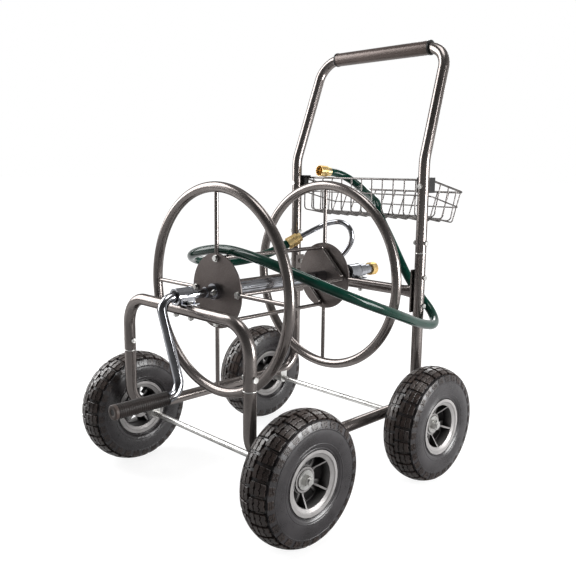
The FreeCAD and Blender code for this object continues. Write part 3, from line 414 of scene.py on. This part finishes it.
def makeHose(spec):
    points = [Vector(spec["start"])] + [Vector(p) * millimetre for p in spec["route"]]
    curve = bpy.data.curves.new("gardenHose", "CURVE")
    curve.dimensions = "3D"
    spline = curve.splines.new("NURBS")
    spline.points.add(len(points) - 1)
    for place, point in zip(spline.points, points):
        place.co = (*point, 1)
    spline.order_u = 3
    spline.use_endpoint_u = True
    spline.resolution_u = spec["stepsPerPoint"]
    curve.bevel_depth = spec["radius"]
    curve.bevel_resolution = spec["roundness"]
    curve.use_fill_caps = True
    hose = bpy.data.objects.new("gardenHose", curve)
    bpy.context.scene.collection.objects.link(hose)
    curve.materials.append(finishes["hose"])
    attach(hose, "cart")
    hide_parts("hose")


makeHose(hoseSpec)
print("hose laid")


def addPiece(name, mesh, body, materials, replaced=()):
    data = bpy.data.meshes.new(name)
    mesh.to_mesh(data)
    mesh.free()
    for material in materials:
        data.materials.append(material)
    piece = bpy.data.objects.new(name, data)
    bpy.context.scene.collection.objects.link(piece)
    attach(piece, body)
    if replaced:
        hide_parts(*replaced)


def smoothLine(points, parts):  # a soft line through given points
    line = []
    for i in range(len(points) - 1):
        a = Vector(points[max(i - 1, 0)])
        b = Vector(points[i])
        c = Vector(points[i + 1])
        d = Vector(points[min(i + 2, len(points) - 1)])
        for k in range(parts):
            t = k / parts
            line.append(0.5 * (2 * b + (c - a) * t + (2 * a - 5 * b + 4 * c - d) * t * t
                               + (3 * b - a - 3 * c + d) * t ** 3))
    line.append(Vector(points[-1]))
    return line


def spinProfile(mesh, profile, steps):  # turns a closed (along, radius) line about the x axis
    corners = [mesh.verts.new((along, 0, radius)) for along, radius in profile]
    sides = [mesh.edges.new(pair) for pair in zip(corners, corners[1:] + corners[:1])]
    bmesh.ops.spin(mesh, geom=corners + sides, cent=(0, 0, 0), axis=(1, 0, 0), dvec=(0, 0, 0),
                   angle=math.tau, steps=steps, use_merge=True)


tyreSpec = {
    "crown": 130.0,
    "halfWidth": 41.5,
    "shoulder": (36.0, 119.0),
    "bulge": 91.0,
    "treadDepth": 4.5,
    "wallInset": 1.3,  # the carcass below the raised marks on its walls
    "wallLine": [(118.2, 0.0), (117.6, 0.9), (116.9, 0.0), (112.0, 0.0), (106.0, 0.0), (103.6, 0.0),
                 (103.0, 0.8), (102.4, 0.0), (97.0, 0.0), (91.0, 0.0), (85.0, 0.0), (79.0, 0.0),
                 (76.0, 0.0), (75.2, 0.7), (74.2, 0.0), (70.0, 0.0)],  # radius and height of each rib
    "bead": [(1.6, 67.2), (2.6, 65.6), (1.2, 64.2), (0.0, 63.0), (0.0, 56.0)],  # beyond the seat
    "crownSteps": 8,
    "smoothing": 3,
    "pitches": 28,
    "turn": {"front_left": 0.4, "front_right": 0.15, "rear_left": 0.8, "rear_right": 0.65},
    "innerBlock": [(1.5, -8.6), (3.2, -11.5), (11.0, -11.5), (11.0, -1.6), (9.6, -1.6), (9.6, 2.2),
                   (11.0, 2.2), (11.0, 11.5), (3.2, 11.5), (1.5, 8.6), (1.5, 2.8), (2.9, 1.2),
                   (2.9, -1.2), (1.5, -2.8)],
    "middleBlock": [(13.0, -11.5), (22.6, -11.5), (22.6, -8.0), (24.4, -6.2), (22.6, -4.4),
                    (22.6, -2.0), (20.8, -0.2), (22.6, 1.6), (22.6, 4.2), (24.4, 6.0), (22.6, 7.8),
                    (22.6, 11.5), (13.0, 11.5), (13.0, 4.8), (14.4, 3.8), (14.4, 0.6), (13.0, -0.6)],
    "outerBlock": [(24.2, -11.5), (33.5, -10.6), (33.5, -1.4), (32.2, -0.8), (32.2, 1.2),
                   (33.5, 1.8), (33.5, 10.6), (24.2, 11.5), (24.2, 8.4), (25.9, 6.0), (24.2, 3.6),
                   (24.2, 2.0), (22.4, -0.2), (24.2, -2.6), (24.2, -3.8), (25.9, -6.2), (24.2, -8.6)],
    "blockBevel": 0.6,
    "blockRoot": -0.7,  # how deep each kind of form starts in the carcass
    "grooveBar": (16.0, 31.0, 2.3, 2.4),  # from, to, width and height
    "barRoot": -0.5,
    "marks": [(115.6, 0.0, 14.0, 1.7), (112.4, -4.4, 5.2, 1.7), (112.4, 3.6, 6.6, 1.7),
              (109.2, 0.6, 12.4, 1.7), (106.0, -3.4, 6.4, 1.6), (106.0, 4.6, 3.2, 1.6),
              (110.8, -7.2, 1.8, 5.0), (107.6, 7.4, 1.8, 5.0), (114.0, 7.4, 1.8, 4.8)],
    "markHeight": 1.15,
    "markRoot": -0.4,
    "nubs": 64,
    "nubSeed": 7,
    "nubBand": (79.0, 103.0),
    "nubScatter": 0.4,
    "nub": (0.55, 0.35, 1.5),  # root and tip radius and height
    "nubLift": 0.1,
    "nubSides": 5,
    "seat": (33.5, 29.5),  # outer and inner
    "steps": 112,
}


def crownPlace(across, height):  # flat tread millimetres to (along the axle, radius)
    side, edge = tyreSpec["shoulder"]
    drop = tyreSpec["crown"] - edge
    arc = (side * side + drop * drop) / (2 * drop)
    reach = arc - tyreSpec["treadDepth"] + height
    angle = across / arc
    return reach * math.sin(angle), tyreSpec["crown"] - arc + reach * math.cos(angle)


def wallPlace(radius, height):
    side, edge = tyreSpec["shoulder"]
    half = edge - tyreSpec["bulge"]
    drop = tyreSpec["halfWidth"] - side
    arc = (half * half + drop * drop) / (2 * drop)
    angle = math.asin((radius - tyreSpec["bulge"]) / arc)
    reach = arc - tyreSpec["wallInset"] + height
    return (tyreSpec["halfWidth"] - arc + reach * math.cos(angle),
            tyreSpec["bulge"] + reach * math.sin(angle))


def raisedShape(mesh, outline, low, high, bevel):  # an outline (across, along) pulled up to a block
    corners = [mesh.verts.new((across, low, along)) for across, along in outline]
    base = mesh.faces.new(corners)
    made = bmesh.ops.extrude_face_region(mesh, geom=[base])["geom"]
    top = [v for v in made if isinstance(v, bmesh.types.BMVert)]
    bmesh.ops.translate(mesh, vec=(0, high - low, 0), verts=top)
    rim = [e for e in made if isinstance(e, bmesh.types.BMEdge)]
    if bevel:
        soft = bmesh.ops.bevel(mesh, geom=rim, offset=bevel, segments=1, profile=0.5,
                               affect="EDGES", material=-1)
        top = [v for v in top if v.is_valid] + list(soft["verts"])
    return list(set(top + corners))


def oblong(across, along, width, length):
    return [(across - width / 2, along - length / 2), (across + width / 2, along - length / 2),
            (across + width / 2, along + length / 2), (across - width / 2, along + length / 2)]


def wrapped(verts, place, reach):  # flat (across, height, along) on to the tyre, in metres
    for vert in verts:
        x, radius = place(vert.co.x, vert.co.y)
        angle = vert.co.z / reach
        vert.co = Vector((x, radius * math.sin(angle), radius * math.cos(angle))) * millimetre


def carcassLine(spec):
    side = spec["shoulder"][0]
    crown = [crownPlace(side * (2 * k / spec["crownSteps"] - 1), 0.0)
             for k in range(spec["crownSteps"] + 1)]
    wall = [wallPlace(radius, height) for radius, height in spec["wallLine"]]
    outer, inner = (wall + [(seat + beyond, radius) for beyond, radius in spec["bead"]]
                    for seat in spec["seat"])
    return [(-x, radius) for x, radius in reversed(inner)] + crown + outer


def addNubs(mesh, spec):  # the short stubs that the mould vents leave
    chance = random.Random(spec["nubSeed"])
    root, tip, height = spec["nub"]
    scatter = spec["nubScatter"]
    for i in range(spec["nubs"]):
        made = bmesh.ops.create_cone(mesh, cap_ends=True, segments=spec["nubSides"], radius1=root,
                                     radius2=tip, depth=height)["verts"]
        bmesh.ops.rotate(mesh, cent=(0, 0, 0), matrix=Matrix.Rotation(-math.pi / 2, 3, "X"),
                         verts=made)
        bmesh.ops.translate(mesh, verts=made, vec=(
            chance.uniform(*spec["nubBand"]), spec["nubLift"],
            (i + chance.uniform(-scatter, scatter)) * math.tau / spec["nubs"] * spec["bulge"]))
        wrapped(made, wallPlace, spec["bulge"])
        if i % 2:
            bmesh.ops.scale(mesh, vec=(-1, 1, 1), verts=made)
        for face in {f for v in made for f in v.link_faces}:
            face.material_index = 1


def makeTyre(turn):
    spec = tyreSpec
    mesh = bmesh.new()
    line = [(x * millimetre, radius * millimetre) for x, radius in carcassLine(spec)]
    smooth = smoothLine([(*point, 0) for point in line], spec["smoothing"])
    spinProfile(mesh, [(point.x, point.y) for point in smooth], spec["steps"])
    for face in mesh.faces:
        face.smooth = True
        face.material_index = 1
    pitch = math.tau / spec["pitches"]
    made = []
    for name in ("innerBlock", "middleBlock", "outerBlock"):
        made += raisedShape(mesh, spec[name], spec["blockRoot"], spec["treadDepth"],
                            spec["blockBevel"])
    low, high, width, height = spec["grooveBar"]
    made += raisedShape(mesh, oblong((low + high) / 2, spec["crown"] * pitch / 2, high - low, width),
                        spec["barRoot"], height, 0.0)
    wrapped(made, crownPlace, spec["crown"])
    for radius, along, length, width in spec["marks"]:
        dash = raisedShape(mesh, oblong(radius, along, width, length), spec["markRoot"],
                           spec["markHeight"], 0.0)
        wrapped(dash, wallPlace, spec["shoulder"][1])
        made += dash
    marks = list({f for v in made for f in v.link_faces} | {e for v in made for e in v.link_edges})
    half = bmesh.ops.duplicate(mesh, geom=made + marks)["geom"]
    mirrored = [g for g in half if isinstance(g, bmesh.types.BMVert)]
    bmesh.ops.scale(mesh, vec=(-1, 1, 1), verts=mirrored)
    bmesh.ops.rotate(mesh, cent=(0, 0, 0), matrix=Matrix.Rotation(pitch / 2, 3, "X"), verts=mirrored)
    tread = [f for f in mesh.faces if f.material_index == 0]
    loose = list({v for f in tread for v in f.verts} | {e for f in tread for e in f.edges} | set(tread))
    bmesh.ops.rotate(mesh, cent=(0, 0, 0), matrix=Matrix.Rotation(turn * pitch, 3, "X"),
                     verts=[g for g in loose if isinstance(g, bmesh.types.BMVert)])
    bmesh.ops.spin(mesh, geom=loose, cent=(0, 0, 0), axis=(1, 0, 0), dvec=(0, 0, 0),
                   angle=math.tau - pitch, steps=spec["pitches"] - 1, use_duplicate=True)
    addNubs(mesh, spec)
    bmesh.ops.recalc_face_normals(mesh, faces=mesh.faces)
    return mesh


def fitTyre(name):
    low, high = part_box("tyre_" + name)
    centre = (low + high) / 2
    side = 1 if centre.x > 0 else -1
    mesh = makeTyre(side * tyreSpec["turn"][name])
    if side < 0:
        bmesh.ops.scale(mesh, vec=(-1, 1, 1), verts=mesh.verts)
        bmesh.ops.recalc_face_normals(mesh, faces=mesh.faces)
    bmesh.ops.translate(mesh, vec=centre, verts=mesh.verts)
    addPiece("treadedTyre_" + name, mesh, "wheel_" + name,
             [finishes["tyre"], sidewallRubber], ["tyre_" + name])


for wheel in tyreSpec["turn"]:
    fitTyre(wheel)
print("tyres made")

gripSpec = {
    "ribs": 24,
    "rib": [(0.0, 0.0), (0.28, 1.0), (0.36, 1.0), (0.62, 0.0)],  # shares of pitch and groove
    "groove": 0.7,
    "collar": 2.0,  # plain stretch before the ribs
    "collarEdge": [(0.0, 0.8), (0.1, 0.6), (0.6, 0.1), (0.8, 0.0)],  # along, and in from the radius
    "bore": 9.7,
    "pocket": (5.9, 3.0),  # radius and depth of the recess over the screw
    "pocketEdge": (0.4, 0.5),
    "cap": 5.0,
    "capEdge": [(1.4, 0.0), (0.4, 0.4), (0.0, 1.4)],  # back from the end, and in from the radius
    "steps": 64,
}


def makeGrip(spec):
    low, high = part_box("crank_grip")
    centre = (low + high) / 2
    radius = (high.z - low.z) / 2 / millimetre
    length = (high.y - low.y) / millimetre
    line = [(0.0, spec["bore"])] + [(along, radius - down) for along, down in spec["collarEdge"]]
    pitch = (length - spec["cap"] - spec["collar"]) / spec["ribs"]
    for i in range(spec["ribs"]):
        start = spec["collar"] + i * pitch
        line += [(start + pitch * along, radius - spec["groove"] * down)
                 for along, down in spec["rib"]]
    line += [(length - back, radius - down) for back, down in spec["capEdge"]]
    hollow, depth = spec["pocket"]
    back, out = spec["pocketEdge"]
    line += [(length, hollow + out), (length - back, hollow), (length - depth, hollow),
             (length - depth, spec["bore"])]
    mesh = bmesh.new()
    spinProfile(mesh, [(x * millimetre, r * millimetre) for x, r in line], spec["steps"])
    for face in mesh.faces:
        face.smooth = True
        face.material_index = face.calc_center_median().x > (length - spec["cap"]) * millimetre
    bmesh.ops.rotate(mesh, cent=(0, 0, 0), matrix=Matrix.Rotation(-math.pi / 2, 3, "Z"),
                     verts=mesh.verts)
    bmesh.ops.translate(mesh, vec=(centre.x, high.y, centre.z), verts=mesh.verts)
    bmesh.ops.recalc_face_normals(mesh, faces=mesh.faces)
    addPiece("ribbedGrip", mesh, "crank_grip",
             [finishes["crank_grip"], capRubber], ["crank_grip"])


makeGrip(gripSpec)

lipSpec = {
    "places": [(0.202, -0.24375, 0.291), (0.202, 0.28225, 0.5055)],
    "radius": 0.0128,
    "thickness": 0.0008,
    "stretch": 1.6,  # its length along the tube for its thickness
    "corners": 8,
    "steps": 48,
}


def makeLips(spec):  # the flared edge where one frame tube is pushed over the next
    thickness = spec["thickness"]
    turns = [corner * math.tau / spec["corners"] for corner in range(spec["corners"])]
    line = [(thickness * spec["stretch"] * math.cos(turn),
             spec["radius"] + thickness * math.sin(turn)) for turn in turns]
    mesh = bmesh.new()
    for x, y, z in spec["places"]:
        for side in (-1, 1):
            others = set(mesh.verts)
            spinProfile(mesh, line, spec["steps"])
            ring = [v for v in mesh.verts if v not in others]
            bmesh.ops.rotate(mesh, cent=(0, 0, 0), matrix=Matrix.Rotation(-math.pi / 2, 3, "Y"),
                             verts=ring)
            bmesh.ops.translate(mesh, vec=(side * x, y, z), verts=ring)
    for face in mesh.faces:
        face.smooth = True
    bmesh.ops.recalc_face_normals(mesh, faces=mesh.faces)
    addPiece("tubeLips", mesh, "cart", [finishes["zinc"]])


makeLips(lipSpec)

bandSpec = {  # start and end along y, inner and outer radius
    "bands": [(-264.4, -259.9, 12.9, 17.45), (-227.6, -223.8, 16.6, 17.45),
              (262.3, 266.1, 17.4, 18.35), (298.4, 302.2, 17.4, 18.35)],
    "height": 0.4408,
    "soft": 0.35,
    "steps": 72,
}


def makeBands(spec):  # pressed steel bands round the ends of the bearing bushes
    for number, (start, end, inner, outer) in enumerate(spec["bands"]):
        soft = spec["soft"]
        line = [(start, inner + soft), (start, outer - soft), (start + soft, outer),
                (end - soft, outer), (end, outer - soft), (end, inner + soft),
                (end - soft, inner), (start + soft, inner)]
        mesh = bmesh.new()
        spinProfile(mesh, [(x * millimetre, r * millimetre) for x, r in line], spec["steps"])
        bmesh.ops.rotate(mesh, cent=(0, 0, 0), matrix=Matrix.Rotation(math.pi / 2, 3, "Z"),
                         verts=mesh.verts)
        bmesh.ops.translate(mesh, vec=(0, 0, spec["height"]), verts=mesh.verts)
        bmesh.ops.recalc_face_normals(mesh, faces=mesh.faces)
        addPiece("bushBand_" + str(number), mesh, "cart", [finishes["chrome"]])


makeBands(bandSpec)
print("grip, tube lips and bush bands made")

for part in frame["record"]["subparts"]:
    for holder in solids[part["node"]].material_slots:
        holder.material = nodeFinishes.get(part["node"], finishes[part["material_slot"]])
print("solids painted")

studioSpec = {
    "floorSize": 40.0,
    "floorColour": 0.30,
    "floorRoughness": 0.9,
    "floorGlow": (0.84, 1.0),  # near the cart, where its shadow falls, and further out
    "glowReach": (0.55, 1.5),
    "floorShine": 0.72,  # how much of its glow polished surfaces pick up
    "wallShine": (0.95, 0.32),  # the room as they see it, level and overhead
    "wallRise": (0.10, 0.60),
    "darkSide": (0.72, -0.69, 0.0),  # where the room is open and unlit
    "darkReach": (-0.45, 0.35),
    "darkShine": 0.14,
    "ambient": 0.27,
    "lamps": (  # place, width, height and power
        ("keyLamp", (-1.75, -0.75, 1.45), 1.2, 2.0, 54.0),
        ("sideLamp", (1.95, 0.85, 0.60), 1.0, 0.9, 38.0),
        ("stripLamp", (2.1, 0.5, 0.9), 0.22, 1.7, 13.0),
        ("topLamp", (0.2, 0.2, 2.5), 0.9, 0.9, 12.0),
        ("backLamp", (-0.9, 2.2, 1.5), 0.6, 1.2, 12.0),
    ),
    "aim": (0.0, 0.0, 0.42),
}


def lightPath(finish, *outputs):
    share = 0.0
    for output in outputs:
        share = finish.node("ShaderNodeLightPath", output=output) + share
    return share


def roomSide(finish, spec, heading):  # 1 towards the lit walls, less towards the dark side
    facing = finish.node("ShaderNodeVectorMath", {"operation": "DOT_PRODUCT"},
                         {0: heading, 1: spec["darkSide"]}, "Value")
    return finish.steps(facing, *spec["darkReach"], 1.0, spec["darkShine"])


def makeFloor(spec):
    mesh = bmesh.new()
    bmesh.ops.create_grid(mesh, x_segments=1, y_segments=1, size=spec["floorSize"])
    data = bpy.data.meshes.new("studioFloor")
    mesh.to_mesh(data)
    mesh.free()
    floor = bpy.data.objects.new("studioFloor", data)
    bpy.context.scene.collection.objects.link(floor)
    finish = Finish("studioFloor")
    away = finish.node("ShaderNodeVectorMath", {"operation": "LENGTH"}, {0: finish.place}, "Value")
    level = finish.steps(away, *spec["glowReach"], *spec["floorGlow"])
    heading = finish.node("ShaderNodeVectorMath", {"operation": "NORMALIZE"}, {0: finish.place})
    shine = roomSide(finish, spec, heading) * spec["floorShine"]
    seen = (lightPath(finish, "Is Camera Ray", "Is Transmission Ray")
            + lightPath(finish, "Is Glossy Ray") * shine)
    glow = finish.blend(seen * level, unlit, lit)
    finish.set(Base_Color=(spec["floorColour"],) * 3, Roughness=spec["floorRoughness"],
               Specular_IOR_Level=0.0, Emission_Color=glow, Emission_Strength=1.0)
    data.materials.append(finish.owner)


def makeWorld(spec):
    world = bpy.data.worlds.new("studioWorld")
    bpy.context.scene.world = world
    sky = Finish("studioWorld", world)
    gaze = sky.node("ShaderNodeTexCoord", output="Generated")
    rise = sky.node("ShaderNodeSeparateXYZ", sockets={0: gaze}, output="Z")
    wall = sky.steps(rise, *spec["wallRise"], *spec["wallShine"])
    shine = sky.blend(wall * roomSide(sky, spec, gaze), unlit, lit)
    level = sky.blend(lightPath(sky, "Is Glossy Ray"), (spec["ambient"],) * 3, shine)
    level = sky.blend(lightPath(sky, "Is Camera Ray", "Is Transmission Ray"), level, lit)
    background = sky.node("ShaderNodeBackground", sockets={"Color": level, "Strength": 1.0})
    sky.tree.links.new(background.socket, sky.output.inputs["Surface"])


def makeLamps(spec):
    for name, place, width, height, power in spec["lamps"]:
        data = bpy.data.lights.new(name, "AREA")
        data.shape = "RECTANGLE"
        data.size = width
        data.size_y = height
        data.energy = power
        lamp = bpy.data.objects.new(name, data)
        gaze = (Vector(spec["aim"]) - Vector(place)).to_track_quat("-Z", "Y")
        lamp.matrix_world = Matrix.Translation(place) @ gaze.to_matrix().to_4x4()
        bpy.context.scene.collection.objects.link(lamp)


makeFloor(studioSpec)
makeWorld(studioSpec)
makeLamps(studioSpec)
bpy.context.scene.view_settings.view_transform = "Standard"
print("studio lit")
